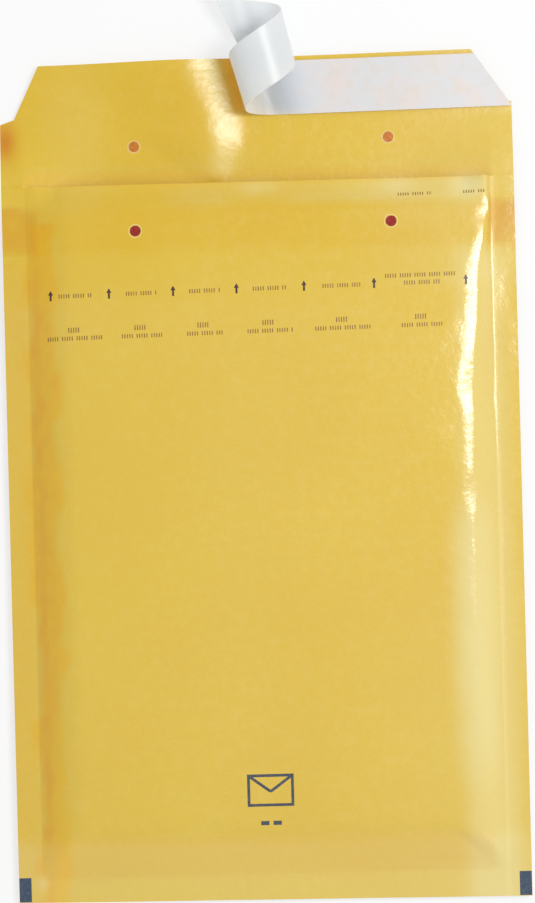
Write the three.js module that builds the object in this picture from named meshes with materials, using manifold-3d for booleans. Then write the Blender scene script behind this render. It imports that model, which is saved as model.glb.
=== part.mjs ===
// A padded envelope that lies open on its back, its flap laid out beyond the mouth.
// Millimetres. X runs across the envelope, Y from the sealed bottom to the flap, Z up.
// The origin is the middle of the back panel's underside, which lies flat.

import * as THREE from "three";
import { mergeVertices } from "three/addons/utils/BufferGeometryUtils.js";
import Module from "manifold-3d";

const wasm = await Module();
wasm.setup();

// The sealed pouch
const bodyWidth = 200;
const bodyLength = 280;
const sideSeam = 8.8;
const bottomSeam = 9.5;
const bottomSkew = 2.2; // how much lower the right corner is cut than the left one

// Walls, from the outside in
const paperThickness = 0.2;
const filmThickness = 2.6; // one wall of bubble film, over its bubbles
const pocketGap = 4.6; // free space between the two walls of film
const restGap = 0.3; // between two pieces that lie on each other

// How the pouch swells
const sealThickness = 0.6; // a seam, with both walls pressed together
const seamHeight = 3.4; // the middle of a seam above the floor
const slopeWidth = 13; // from a seam up to the full thickness
const crown = 1.2; // how far the front panel rises towards its middle
const liningRim = 0.8; // thickness of the lining where its walls meet in the seams
const pocketRim = 0.6; // height of the free space along the lining's sides
const liningRecess = 8.5; // the lining ends this far inside the mouth

// The flap, which carries on from the back panel
const flapLength = 48.5;
const flapAngle = THREE.MathUtils.degToRad(2.8); // it stands a little off the floor
const cutSkew = Math.tan(THREE.MathUtils.degToRad(0.8)); // its cuts run a little out of square
const chamferWidth = 15.5;
const chamferLength = 20.5;
const leftShoulder = 5.5;
const rightShoulder = 1.2;
const shoulderFall = 0.33; // how much a shoulder falls for each millimetre of its width

// Discs punched for round-headed clips, which line up when the flap is folded over
const foldInset = 1; // the fold lies this far inside the mouth
const discDiameter = 4.4; // over the cut round it
const discCut = 0.25; // width of that cut
const discNick = 0.9; // the paper that still holds the disc
const discSpacing = 99.4;
const discShift = 1.8;
const discToFold = 16.7;

// The adhesive strip and the release liner on it
const adhesiveWidth = 16;
const adhesiveThickness = 0.2;
const linerWidth = 20.8;
const linerThickness = 0.2;
const linerMargin = 1.7; // bare paper between the flap's free edge and the liner

// The peeled half of the liner, rolled up into a loose cone
const peelX = 8.5; // where the peel line leaves the liner's lower edge
const peelLean = THREE.MathUtils.degToRad(14.5); // the peel line leans to the left
const peeledLength = 93;
const freeEndSlant = 16; // how much longer the upper edge is than the lower one
const curlRadius = 11.5;
const curlHalfAngle = THREE.MathUtils.degToRad(1.3);

// How finely the sheets are divided
const frontColumns = 5;
const frontRows = 7;
const flapRows = 3;
const curlColumns = 32;
const stuckColumns = 3;
const linerRows = 4;
const discSides = 20;
const trimMargin = 3; // what the cutting outline takes off the sheets
const clearOfAll = 40; // a height that no part of the pouch or flap reaches

// Sizes that follow
const halfWidth = bodyWidth / 2;
const mouthY = bodyLength / 2;
const foldY = mouthY - foldInset;
const liningTopY = mouthY - liningRecess;
const seamEdgeX = halfWidth - sideSeam;
const seamEdgeY = bottomSeam - bodyLength / 2;
const wallThickness = paperThickness + restGap + filmThickness;
const pouchThickness = 2 * wallThickness + pocketGap;
const liningInset = insetAt(2 * (paperThickness + restGap) + liningRim);
const pocketInset = insetAt(2 * wallThickness + pocketRim);
const linerReach = linerMargin + linerWidth;
const swellFade = flapLength - linerReach - cutSkew * halfWidth; // the flap is flat under its strips

// The steps in which a sheet climbs from a seam to the full thickness
const slopeSteps = [
  0,
  ...between(liningInset, pocketInset, 3),
  ...between(pocketInset, slopeWidth, 4).slice(1),
];

// Evenly spaced values, with both ends
function between(start, end, count) {
  return Array.from({ length: count }, (_, i) => start + ((end - start) * i) / (count - 1));
}

// How far inside a seam the pouch reaches a given thickness
function insetAt(thickness) {
  const share = (thickness - sealThickness) / (pouchThickness - sealThickness);
  return (slopeWidth * Math.asin(share) * 2) / Math.PI;
}

// How far the pouch has swelled at a point: 0 on the seams, 1 on the full thickness
function swell(x, y) {
  const inset = Math.min(seamEdgeX - Math.abs(x), y - seamEdgeY, slopeWidth);
  return Math.sin((Math.max(inset, 0) / slopeWidth) * (Math.PI / 2));
}

// The gentle rise of the front panel inside its four slopes
function dome(x, y) {
  const bottomY = seamEdgeY + slopeWidth;
  const u = x / (seamEdgeX - slopeWidth);
  const v = (2 * y - mouthY - bottomY) / (mouthY - bottomY);
  return crown * Math.max(0, 1 - u * u) * Math.max(0, 1 - v * v);
}

// Height of the front panel's outer face
function frontFace(x, y) {
  const seamTop = seamHeight + sealThickness / 2;
  return seamTop + (pouchThickness - seamTop) * swell(x, y) + dome(x, y);
}

// Height of the back panel's outer face, and beyond the mouth that of the flap
function backFace(x, y) {
  const seamUnderside = seamHeight - sealThickness / 2;
  const beyond = Math.max(0, y - mouthY);
  const fade = Math.max(0, 1 - beyond / swellFade);
  const panelY = Math.min(y, mouthY);
  return seamUnderside * (1 - swell(x, panelY)) * fade + beyond * Math.tan(flapAngle);
}

// Columns of a sheet that starts a given distance inside the side seams
function columnsFrom(inset) {
  const steps = slopeSteps.filter((step) => step >= inset);
  const flatEdge = seamEdgeX - slopeWidth;
  return [
    ...steps.map((step) => step - seamEdgeX),
    ...between(-flatEdge, flatEdge, frontColumns + 1).slice(1, -1),
    ...steps.map((step) => seamEdgeX - step).reverse(),
  ];
}

// Rows of a sheet from a given distance inside the bottom seam up to the lining's end
function rowsFrom(inset) {
  const steps = slopeSteps.filter((step) => step >= inset);
  const flatEdge = seamEdgeY + slopeWidth;
  return [
    ...steps.map((step) => seamEdgeY + step),
    ...between(flatEdge, liningTopY, frontRows + 1).slice(1),
  ];
}

// A closed solid from a geometry whose faces share no vertices yet
function toSolid(geometry) {
  const shared = geometry.clone();
  shared.deleteAttribute("normal");
  shared.deleteAttribute("uv");
  const merged = mergeVertices(shared, 1e-5);
  return new wasm.Manifold(new wasm.Mesh({
    numProp: 3,
    vertProperties: new Float32Array(merged.attributes.position.array),
    triVerts: new Uint32Array(merged.index.array),
  }));
}

// The geometry of a solid
function toGeometry(solid) {
  const { vertProperties, triVerts } = solid.getMesh();
  const geometry = new THREE.BufferGeometry();
  geometry.setAttribute("position", new THREE.BufferAttribute(vertProperties, 3));
  geometry.setIndex(new THREE.BufferAttribute(triVerts, 1));
  geometry.computeVertexNormals();
  return geometry;
}

// A box divided into columns and rows, each of its vertices moved by a function of its place
function bentBox(columnCount, rowCount, place) {
  const geometry = new THREE.BoxGeometry(1, 1, 1, columnCount, rowCount, 1);
  const position = geometry.attributes.position;
  const point = new THREE.Vector3();
  for (let i = 0; i < position.count; i += 1) {
    point.fromBufferAttribute(position, i);
    const column = Math.round((point.x + 0.5) * columnCount);
    const row = Math.round((point.y + 0.5) * rowCount);
    const moved = place(column, row, point.z > 0);
    position.setXYZ(i, moved.x, moved.y, moved.z);
  }
  return geometry;
}

// A solid between two heights over a grid of columns and rows
function slab(columns, rows, underside, topside) {
  return toSolid(bentBox(columns.length - 1, rows.length - 1, (column, row, upper) => {
    const x = columns[column];
    const y = rows[row];
    return new THREE.Vector3(x, y, upper ? topside(x, y) : underside(x, y));
  }));
}

// A point on the flap, a given distance in from its free edge
function flapPoint(x, depth) {
  return new THREE.Vector2(x, flapLength + cutSkew * x - depth);
}

// Where a flap's chamfer is, a given distance in from the free edge
function chamferX(side, depth) {
  const shoulder = side < 0 ? leftShoulder : rightShoulder;
  const spread = (chamferWidth - shoulder) / chamferLength;
  return side * (halfWidth - chamferWidth + spread * depth);
}

// The corner of the flap on one side: its shoulder, then its chamfer
function flapCorner(side) {
  const shoulder = side < 0 ? leftShoulder : rightShoulder;
  return [
    flapPoint(side * halfWidth, chamferLength + shoulderFall * shoulder),
    flapPoint(side * (halfWidth - shoulder), chamferLength),
    flapPoint(chamferX(side, 0), 0),
  ];
}

// The cut edge all round the envelope, as a tall solid
function cuttingOutline() {
  const flapEdge = [...flapCorner(1), ...flapCorner(-1).reverse()];
  const shape = new THREE.Shape([
    new THREE.Vector2(-halfWidth, (bottomSkew - bodyLength) / 2),
    new THREE.Vector2(halfWidth, (-bottomSkew - bodyLength) / 2),
    ...flapEdge.map((point) => point.add(new THREE.Vector2(0, mouthY))),
  ]);
  const outline = new THREE.ExtrudeGeometry(shape, { depth: 2 * clearOfAll, bevelEnabled: false });
  return toSolid(outline.translate(0, 0, -clearOfAll));
}

// The cut round a disc, which stops on both sides of the nick
function discOutline() {
  const radius = discDiameter / 2;
  const start = Math.PI / 2 + discNick / discDiameter;
  const end = start + 2 * Math.PI - (2 * discNick) / discDiameter;
  return new THREE.Shape()
    .absarc(0, 0, radius, start, end, false)
    .absarc(0, 0, radius - discCut, end, start, true);
}

// The cuts round the two discs of one row, from a given height upwards
function discCuts(rowY, fromZ) {
  const options = { depth: clearOfAll, bevelEnabled: false, curveSegments: discSides };
  const cuts = [-0.5, 0.5].map((share) => {
    const x = discShift + share * discSpacing;
    const cut = new THREE.ExtrudeGeometry(discOutline(), options);
    return toSolid(cut.translate(x, rowY + cutSkew * x, fromZ));
  });
  return cuts[0].add(cuts[1]);
}

// One sheet of kraft paper: both panels, sealed along the sides and the bottom, and the flap
function kraftEnvelope() {
  const inner = columnsFrom(0);
  const trimX = halfWidth + trimMargin;
  const columns = [-trimX, ...inner, trimX];
  const rows = [...rowsFrom(0), mouthY];
  const trimY = -bodyLength / 2 - bottomSkew / 2 - trimMargin;
  const pouch = slab(columns, [trimY, ...rows], backFace, frontFace);
  const hollow = slab(
    inner,
    [...rows, mouthY + trimMargin],
    (x, y) => backFace(x, Math.min(y, mouthY)) + paperThickness,
    (x, y) => frontFace(x, Math.min(y, mouthY)) - paperThickness,
  );
  const flap = slab(
    columns,
    [...between(mouthY, mouthY + swellFade, flapRows), mouthY + flapLength + trimMargin],
    backFace,
    (x, y) => backFace(x, y) + paperThickness,
  );
  return pouch
    .subtract(hollow)
    .add(flap)
    .intersect(cuttingOutline())
    .subtract(discCuts(foldY + discToFold, -clearOfAll / 2))
    .subtract(discCuts(foldY - discToFold, pouchThickness / 2));
}

// The pouch of bubble film inside, as thick as its bubbles are high
function bubbleLining() {
  const skin = paperThickness + restGap;
  const pouch = slab(
    columnsFrom(liningInset),
    rowsFrom(liningInset),
    (x, y) => backFace(x, y) + skin,
    (x, y) => frontFace(x, y) - skin,
  );
  const pocket = slab(
    columnsFrom(pocketInset),
    [...rowsFrom(pocketInset), mouthY],
    (x, y) => backFace(x, y) + wallThickness,
    (x, y) => frontFace(x, y) - wallThickness,
  );
  return pouch.subtract(pocket);
}

// The clear adhesive across the flap, in the flap's own frame
function adhesiveStrip() {
  const near = linerMargin + (linerWidth - adhesiveWidth) / 2;
  const far = near + adhesiveWidth;
  const shape = new THREE.Shape([
    flapPoint(chamferX(-1, far), far),
    flapPoint(chamferX(1, far), far),
    flapPoint(chamferX(1, near), near),
    flapPoint(chamferX(-1, near), near),
  ]);
  const strip = new THREE.ExtrudeGeometry(shape, { depth: adhesiveThickness, bevelEnabled: false });
  return toSolid(strip.translate(0, 0, paperThickness + restGap));
}

// Where a point of the flat liner ends up: stuck down, or rolled onto the cone past the peel line.
// The point lies some way off the liner's underside, which is the height of its own thickness.
function rollUp(flatPoint, offset) {
  const along = new THREE.Vector3(-Math.sin(peelLean), Math.cos(peelLean), 0);
  const left = new THREE.Vector3(-along.y, along.x, 0);
  const up = new THREE.Vector3(0, 0, 1);
  const peelStart = flapPoint(peelX, linerReach);
  const apex = new THREE.Vector3(peelStart.x, peelStart.y, 0)
    .addScaledVector(along, -curlRadius / Math.sin(curlHalfAngle));
  const fromApex = new THREE.Vector3(flatPoint.x, flatPoint.y, 0).sub(apex);
  const slant = fromApex.length();
  const turn = Math.atan2(fromApex.dot(left), fromApex.dot(along)) / Math.sin(curlHalfAngle);
  if (turn <= 0) {
    return new THREE.Vector3(flatPoint.x, flatPoint.y, offset);
  }
  const axis = along.clone().multiplyScalar(Math.cos(curlHalfAngle))
    .addScaledVector(up, Math.sin(curlHalfAngle));
  const down = along.clone().multiplyScalar(Math.sin(curlHalfAngle))
    .addScaledVector(up, -Math.cos(curlHalfAngle));
  const outward = down.multiplyScalar(Math.cos(turn)).addScaledVector(left, Math.sin(turn));
  const alongAxis = slant * Math.cos(curlHalfAngle) + offset * Math.sin(curlHalfAngle);
  const fromAxis = slant * Math.sin(curlHalfAngle) - offset * Math.cos(curlHalfAngle);
  return apex.clone().addScaledVector(axis, alongAxis).addScaledVector(outward, fromAxis);
}

// The release liner in the flap's own frame, from its free end to the right chamfer
function releaseLiner() {
  const liner = bentBox(curlColumns + stuckColumns, linerRows, (column, row, upper) => {
    const share = row / linerRows;
    const depth = linerReach - linerWidth * share;
    const peel = peelX - linerWidth * share * Math.tan(peelLean);
    const freeEnd = peelX - peeledLength - freeEndSlant * (share - 0.5);
    const x = column < curlColumns
      ? THREE.MathUtils.lerp(freeEnd, peel, column / curlColumns)
      : THREE.MathUtils.lerp(peel, chamferX(1, depth), (column - curlColumns) / stuckColumns);
    return rollUp(flapPoint(x, depth), upper ? linerThickness : 0);
  });
  return toSolid(liner.translate(0, 0, paperThickness + adhesiveThickness + 2 * restGap));
}

function kraftPaper() {
  return new THREE.MeshStandardMaterial({ color: 0xdfc05f, roughness: 0.4, metalness: 0 });
}

function bubbleFilm() {
  return new THREE.MeshStandardMaterial({ color: 0xe4e8ea, roughness: 0.25, metalness: 0 });
}

function clearAdhesive() {
  return new THREE.MeshStandardMaterial({ color: 0xd9a53a, roughness: 0.2, metalness: 0 });
}

function releasePaper() {
  return new THREE.MeshStandardMaterial({ color: 0xe6e9f2, roughness: 0.45, metalness: 0 });
}

// A named piece of the envelope
function piece(name, solid, material) {
  const mesh = new THREE.Mesh(toGeometry(solid), material);
  mesh.name = name;
  return mesh;
}

const envelope = new THREE.Group();
envelope.add(piece("kraft_envelope", kraftEnvelope(), kraftPaper()));
envelope.add(piece("bubble_lining", bubbleLining(), bubbleFilm()));

const flapFrame = new THREE.Group();
flapFrame.position.y = mouthY;
flapFrame.rotation.x = flapAngle;
flapFrame.add(piece("adhesive_strip", adhesiveStrip(), clearAdhesive()));
flapFrame.add(piece("release_liner", releaseLiner(), releasePaper()));
envelope.add(flapFrame);

export default envelope;
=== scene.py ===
import math

import bpy
import numpy as np
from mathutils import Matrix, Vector


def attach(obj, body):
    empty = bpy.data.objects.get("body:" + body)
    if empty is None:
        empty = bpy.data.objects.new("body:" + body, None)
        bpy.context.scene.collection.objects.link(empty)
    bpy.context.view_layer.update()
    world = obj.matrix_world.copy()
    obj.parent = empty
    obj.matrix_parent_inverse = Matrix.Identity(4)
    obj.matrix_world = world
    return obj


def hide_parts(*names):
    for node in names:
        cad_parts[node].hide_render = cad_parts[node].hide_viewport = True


# The looks of a padded envelope that lies open on its back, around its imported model.
# Sizes are in millimetres here, and meshes are made in metres.
# X runs across the envelope, Y from the sealed bottom to the flap, Z up.
# A pair such as DENT_X gives the place where a share is still 0 and the place where it is 1.
# A list of such pairs gives a range that something fades into and out of.

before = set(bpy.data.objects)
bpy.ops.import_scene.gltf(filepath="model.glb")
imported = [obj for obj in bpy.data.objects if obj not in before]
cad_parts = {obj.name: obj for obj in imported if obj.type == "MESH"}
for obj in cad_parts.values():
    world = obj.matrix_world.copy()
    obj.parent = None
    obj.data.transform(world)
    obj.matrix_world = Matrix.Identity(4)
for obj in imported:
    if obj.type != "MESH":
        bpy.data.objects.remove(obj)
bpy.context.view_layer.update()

MM = 0.001
TINY = 1e-6

# The pouch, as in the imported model
HALF_WIDTH = 100
MOUTH_Y = 140
BOTTOM_Y = -140
BOTTOM_SKEW = 2.2
SEAM_X = 91.2
SEAM_Y = -130.5
PAPER = 0.2
FILM = 2.6
REST_GAP = 0.3
SEAL = 0.6
SEAM_HEIGHT = 3.4
SLOPE_WIDTH = 13
MOUTH_SPREAD = 1.6
SPREAD_Y = (100, MOUTH_Y)
CROWN = 1.2
POUCH = 10.8
LINING_TOP_Y = 131.5
LINING_INSET = 2.45

# The flap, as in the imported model
FLAP_LENGTH = 48.5
FLAP_ANGLE = math.radians(2.8)
CUT_SKEW = math.tan(math.radians(0.8))
CHAMFER_WIDTH = 15.5
CHAMFER_LENGTH = 20.5
LEFT_SHOULDER = 5.5
RIGHT_SHOULDER = 1.2
SHOULDER_FALL = 0.33

# The discs punched for clips
DISC_RADIUS = 2.2
DISC_CUT = 0.1
DISC_NICK = 0.9
DISC_SPACING = 99.4
DISC_SHIFT = 1.8
FOLD_Y = 139
DISC_TO_FOLD = 16.7
DISC_POINTS = 48
UNDER_ALL = -5
OVER_ALL = 20

# The release liner and the adhesive under it
ADHESIVE_WIDTH = 16
ADHESIVE = 0.2
LINER_WIDTH = 20.8
LINER = 0.2
LINER_MARGIN = 1.7
LINER_REACH = LINER_MARGIN + LINER_WIDTH
PEEL_X = 8.5
PEEL_LEAN = math.radians(14.5)
PEELED_LENGTH = 93
FREE_END_SLANT = 16
CURL_RADIUS = 11.5
CURL_HALF_ANGLE = math.radians(1.3)
# How far past the peel the stuck liner keeps the loose part's lighter colour, as painted light beside the
# curl
STUCK_AFTER = 18
SWELL_FADE = FLAP_LENGTH - LINER_REACH - CUT_SKEW * HALF_WIDTH
MELT_EDGE = 0.02
MELT = 0.06
MELT_SINK = 0.05

# How the front panel climbs from a seam: a foot, a facet, a slow shoulder and its soft end.
# By the right seam the paper mirrors the lamp where it falls between the two sheen slopes.
SHEEN_LOW = 0.11
SHEEN_HIGH = 0.21
FOOT_START = 0.3
FOOT_WIDTH = 0.45
FOOT_END = 0.5
LEAST_BEND = 0.1
FACET_END = 1.5
SOFT_FACET_END = 7
SOFT_SHOULDER = 1.4
SHOULDER_END = 3
LEFT_FACET = 8
BOTTOM_FACET = 11
LEAST_FACET = 1
FAR_INSIDE = 60
CORNER_ROUNDING = 8

# The streak of light on the right shoulder: height up the panel, how far inside the seam, width
STREAK = [
    (5, 10.8, 0.3), (13, 10.8, 3.6), (20, 10.8, 3.6), (25, 10.8, 0.8),
    (33, 10.8, 2), (45, 10.9, 2.8), (57, 11.7, 4.2), (68, 11, 4),
    (84, 9.1, 3.4), (96, 8.4, 3.2), (106, 7.4, 3), (115, 4.9, 1.8),
    (121, 4, 0.3), (124.5, 3.7, 4), (131, 3.6, 4), (134, 3.6, 0.3),
]
BRIGHT_X = (60, 70)
BRIGHT_Y = (-90, -30)

# The thin light in the right seam's foot, with one bright spot
GLINT_Y = [(29, 43), (129, 115)]
GLINT_LEVEL = 0.75
MOST_GLINT = 2
SPOT_Y = 53
SPOT_REACH = 4

# How the paper bends beyond its plain form
MOUTH_SAG = 2.6
SAG_Y = (62, LINING_TOP_Y)
BOTTOM_SAG = 1.8
BOTTOM_SAG_Y = (-70, SEAM_Y)
MOUTH_DROOP = 4.4
DROOP_Y = (LINING_TOP_Y - 4, MOUTH_Y)
DENT_X = (70, 78)
COCKLE_REACH = 6
CORNER_CREASE = [(60, -126), (78, -127.3), (91, -130)]
CREASE_WIDTH = 1.2
CREASE_DEPTH = 0.7

# The flap's ridge: the end and the width of its right face, by the share of the flap's length
RIDGE_ENDS = [(0, -11.2), (0.4, -1.9), (1, -6)]
RIDGE_WIDTHS = [(0, 5), (0.45, 19), (0.5, 19), (1, 24)]
RIDGE_ONSET = (0, 1 / 14)
RIDGE_SLOPE = 0.205
RIDGE_STEEPENING = 0.04
RIDGE_REACH = 2.4
STEEPEST_STEP = 1.5
WAVE_HEIGHT = 0.25
WAVE_Y = (MOUTH_Y, MOUTH_Y + 12)

# Noise fields: the size of their cells, their seed and their strength
NOISE_CELLS = 64
SIDE_WANDER = (17, 3, 0.3)
LEFT_WANDER = (7, 4, 0.3)
BOTTOM_WANDER = (17, 9, 1)
STREAK_CHANGE = (7, 17, 0.25)
GLINT_CHANGE = (12, 10, 1.3)
SEAM_COCKLE = (19, 5, 0.25)
PANEL_WAVES = (41, 1, 0.2)
SMALL_WAVES = (15, 2, 0.08)
DENTS = (8, 7, 0.15)
DROOP_CHANGE = (25, 8, 0.25)
FLAP_WAVES = (33, 6, 1)
EDGE_RAGGED = (9, 11, 3)
BAND_RAGGED = (14, 12, 1.2)
BAND_MOTTLE = (6, 13, 0.4)
LINE_RAGGED = (5, 15, 1.5)
LINE_MOTTLE = (7, 16, 1)
SLOPE_MOTTLE = (4, 18, 0.5)
SLOPE_GRAIN = (1.2, 19, 0.5)
MOUTH_MOTTLE = (22, 14, 1)

# The lines of a noise field that are read where something changes along a seam alone
SEAM_LINE = 90
STREAK_LINE = 60
LEFT_LINE = -70

# Spacing of the grid lines of the meshes
FOOT_ZONE = 2
SLOPE_ZONE_X = 18
SLOPE_ZONE_Y = 16
RIDGE_ZONE = (-32, -2)
COLUMN_STEPS = [1.5, 0.3, 0.8, 3, 1.5, 3, 0.8, 0.3, 1.5]
ROW_STEPS = [1.6, 0.5, 1, 2.4, 1]
STRAIGHT_ROWS = 18
SHOULDER_ROWS = (0.5, 1)
CHAMFER_ROWS = 13
FILM_COLUMN_STEPS = [1.6, 5, 1.6]
FILM_ROW_STEPS = [1.6, 5]
LINER_ROWS = 21
CURL_COLUMNS = 120
STUCK_COLUMNS = 41

# The adhesive's grid, as shares of its width and of its length, closer together at its edges
MELT_ROWS = np.array([0, 0.04, 0.12, 0.3, 0.5, 0.7, 0.88, 0.96, 1])
MELT_ENDS = np.array([0, 0.005, 0.015])
MELT_MIDDLE = np.linspace(0.03, 0.97, 141)
MELT_COLUMNS = np.concatenate([MELT_ENDS, MELT_MIDDLE, 1 - MELT_ENDS[::-1]])
ROW_EDGE = 0.12
COLUMN_EDGE = 0.015

# Bubbles of the film
BUBBLE_PITCH = 11
BUBBLE_RADIUS = 4.9
BUBBLE_MARGIN = 1
BUBBLE_GAP = 0.3
LEAST_BUBBLE = 0.2
BUBBLE_SIDES = 12
BUBBLE_RINGS = 3
BUBBLE_FULLNESS = 0.6
BUBBLE_STEEPNESS = 0.8
FILM_SKIN = 0.12

# Print
INK_LIFT = 0.03
INK_SINK = 0.05
INK_STEP = 1.6
ARROWS_X = [-81.5, -58.7, -33.8, -9.2, 17, 44.2, 79.9]
ARROWS_Y = 96.4
ARROW_LENGTH = 4
ARROW_WIDTH = 2
STEM_LENGTH = 2.3
STEM_WIDTH = 0.8
HEAD_START = 2.2
TICK_PITCH = 0.95
TICK_WIDTH = 0.4
TICK_HEIGHT = 1.6
WORD_TICKS = 6
UPPER_LINES = [(-78.3, -65), (-52.1, -40.4), (-27.5, -15.3), (-2.8, 9.7), (24.2, 39.4), (55.9, 69.2)]
UPPER_LINE_Y = 98
SECOND_LINE = (48.6, 76.1)
SECOND_LINE_Y = 100.9
LOWER_LINES = [(-83, -61), (-54, -38.5), (-28.7, -15), (-5.3, 12), (21, 42.8), (54.6, 70.6)]
LOWER_LINE_Y = 81.5
SHORT_LINE_Y = 84.7
SHORT_LINE_LENGTH = 5.6
SHORT_LINE_HEIGHT = 2
STAMP_LINES = [(54.5, 67.4), (80, 87.7)]
STAMP_Y = 132.7
STAMP_HEIGHT = 1.2
SIGN_X = -1
SIGN_Y = -96.6
SIGN_WIDTH = 17
SIGN_HEIGHT = 11.5
SIGN_LINE = 1.1
SIGN_FOLD_DROP = 0.5
SIGN_BARS_X = [(-4, -0.8), (0.8, 4)]
SIGN_BARS_Y = (-13.6, -12)
CORNER_MARK_X = (95.2, 99.9)
CORNER_MARK_START = 0.3
CORNER_MARK_HEIGHT = 9.4

# Where the paper is painted warmer: glue shows through in a band under the mouth, most on its seams; the
# left slope takes painted shade; a darker ragged line runs on it, and the left seam is warmer
GLUE_BAND_Y = [(112.25, 114.75), (132.75, 130.25)]
GLUE_BAND = 0.06
GLUE_MEAN = 0.8
LEFT_GLUE = 0.34
LEFT_GLUE_X = (-86, -92)
RIGHT_GLUE = 0.52
RIGHT_GLUE_X = (86, 92)
SLOPE_START_X = (-93.5, -88.5)
SLOPE_END_X = (-77.5, -82.5)
SLOPE_TOP_Y = 125
SLOPE_SHADE_WARMTH = 0.16
SLOPE_NARROWING = 6
NARROWING_Y = (-55, -90)
DARK_SLOPE_LINE = 0.14
DARK_SLOPE_LINE_X = [(-89.6, -88.4), (-84.9, -86.1)]
LEFT_SEAM_WARMTH = 0.1
LEFT_SEAM_WARMTH_X = (-90, -93)
LEFT_SEAM_WARMTH_TOP_Y = 112

# Painted patches: strength, centre and reach
WARM_PATCHES = [(0.95, (-98, 158), (5, 9)), (0.08, (-30, 160), (25, 30))]
# Painted sheen: paler colour where the lamp's gloss falls, under the mouth, by the right seam and on the
# flap
SHEEN_PAINT_PATCHES = [
    (0.06, (60, 128), (25, 9)),
    (0.3, (0, 137.5), (9, 4)),
    (0.3, (54, 137), (10, 4.5)),
    (0.6, (82, 136), (9, 7)),
    (0.1, (-70, 160), (16, 40)),
    (0.3, (-90.6, -131.4), (2.5, 3.5)),
]
RICH_PATCHES = [(0.2, (-78, 148), (22, 12)), (0.3, (94, 129), (7, 8))]
DULL_PATCHES = [(1.2, (87.5, 121.3), (5, 2.2))]
PATCH_FALL = 1.5

# Painted zones: strength, and the ranges across and along that they fade into and out of
# Painted sheen: paler where the lamp's gloss falls on the right and by the right seam; paler too over the
# shaded bottom facet and on the flap by the mouth
SHEEN_PAINT_ZONES = [
    (0.095, [], [(105, 90)]),
    (0.15, [(20, 90)], [(90, 105)]),
    (0.08, [(20, 90)], [(20, -60)]),
    (0.16, [], [(-112, -120)]),
    (0.05, [], [(95, 101), (116, 110)]),
    (0.08, [(67.5, 72.5), (81.5, 76.5)], [(-70, -55), (15, 0)]),
    (0.32, [(71, 81), (101, 91)], [(117, 107)]),
    (0.2, [(68, 76), (92, 84)], [(-105, -75), (25, 0)]),
    (0.03, [], [(137, 143), (151, 145)]),
]
LEFT_HALF = (-5, -55)
# Painted shade: deeper colour on the left half, where less of the lamp's gloss falls; a deeper strip
# along the bottom seam too
RICH_AND_SHADE_ZONES = [
    (0.3, [LEFT_HALF], [(90, 105)]),
    (0.2, [LEFT_HALF], [(105, 90)]),
    (0.1, [LEFT_HALF], [(-45, -15), (85, 55)]),
    (0.12, [], [(SEAM_Y, SEAM_Y - 3)]),
]
SEAM_FOOT_X = [(SEAM_X - 2, SEAM_X - 1), (SEAM_X + 1, SEAM_X)]
DULL_ZONES = [
    (0.3, SEAM_FOOT_X, []),
    (0.7, SEAM_FOOT_X, [(36, 26)]),
    (0.7, SEAM_FOOT_X, [(119, 125)]),
]

# Painted strokes: strength, path and width
# Painted sheen along the glare on the flap's ridge
GLARE_STROKES = [
    (0.3, [(-19.9, 187), (-14.5, 174), (-11.4, 160), (-13.7, 147)], 5),
    (0.15, [(-19.9, 187), (-14.5, 174)], 4),
]
# Painted light: warm bounce light in the curl's shadow on the flap
CURL_BOUNCE_STROKES = [(0.85, [(-11, 191), (-6, 170)], 3)]

# Other painted strengths and ranges
# Painted sheen: paler colour in the strip under the mouth
MOUTH_SHEEN_PAINT = 0.11
MOUTH_SHEEN_PAINT_Y = [(130.5, 132.5), (140.5, 138.5)]
# Painted shade: deeper colour on the left slope, which faces away from the lamp; the flap's right half is
# painted deeper too
SLOPE_SHADE_RICHNESS = 0.6
FLAP_RICHNESS = 0.12
FLAP_RICHNESS_X = (-5, 5)
# Painted light: warm light on the shaded left slope, over the shaded bottom facet by the seam, and on the
# flap by the mouth, where the front's edge shades it
SLOPE_PAINTED_LIGHT = 0.2
BOTTOM_PAINTED_LIGHT = 0.12
BOTTOM_PAINTED_LIGHT_Y = [(-133, -127), (-112, -118)]
BOTTOM_PAINTED_LIGHT_INSET = 6
MOUTH_PAINTED_LIGHT = 0.14
MOUTH_PAINTED_LIGHT_Y = [(138, 141), (146.5, 143.5)]
FLAP_DULLNESS = 0.33

# Colours, as they show on screen
PAPER_DARK = (226, 189, 52)
PAPER_LIGHT = (232, 197, 68)
PAPER_MOTTLED = (238, 212, 122)
PAPER_DEEP = (222, 176, 44)
# The deeper colour of the rich tone and of the painted shade
PAPER_RICH_AND_SHADED = (228, 190, 0)
# The warm colour of glue showing through, also used for painted shade on the left slope
PAPER_WARM = (214, 132, 4)
# The paler colour of the painted sheen
PAPER_SHEEN_PAINT = (242, 230, 166)
# The warm colour of the painted light
PAPER_PAINTED_LIGHT = (255, 178, 24)
# Painted shade of the hollows behind the discs: dark red on the front, orange brown on the flap, with a
# pale painted light on their rims
DISC_RED_SHADE = (138, 14, 0)
DISC_RED_SHADE_LIGHTER = (170, 38, 12)
DISC_BROWN_SHADE = (192, 108, 8)
DISC_BROWN_SHADE_LIGHTER = (216, 132, 30)
DISC_RIM_LIGHT = (252, 222, 134)
FILM_DARK = (222, 228, 230)
FILM_LIGHT = (240, 244, 246)
MELT_DEEP = (224, 178, 40)
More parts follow.
